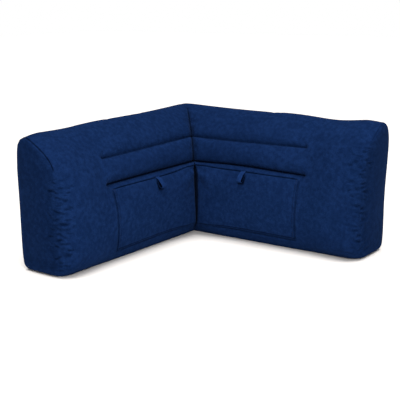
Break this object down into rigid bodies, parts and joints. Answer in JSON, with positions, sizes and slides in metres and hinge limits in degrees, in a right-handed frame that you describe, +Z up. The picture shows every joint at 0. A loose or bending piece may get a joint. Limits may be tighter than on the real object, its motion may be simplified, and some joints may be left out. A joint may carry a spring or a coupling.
{
  "type": "corner backrest pillow",
  "caption": "L-shaped filled backrest pillow standing on its long edges, with sewn channels, a patch pocket on each inner face and folded pull tabs.",
  "frame": {"origin": "on the floor under the middle of the bounding box", "axes": "+Z up, the right arm runs along +X from the outer corner and the left arm along -Y, so the back faces look to +Y and -X"},
  "size_m": [0.985, 0.9772, 0.5185],
  "materials": {
    "cushion": "short-napped velvety cloth",
    "pocket_left": "short-napped velvety cloth",
    "pocket_right": "short-napped velvety cloth",
    "tab_left": "short-napped velvety cloth",
    "tab_right": "short-napped velvety cloth"
  },
  "bodies": {
    "root": {"cushion": "cushion", "pocket_left": "pocket_left", "pocket_right": "pocket_right", "tab_left": "tab_left", "tab_right": "tab_right"}
  },
  "joints": []
}
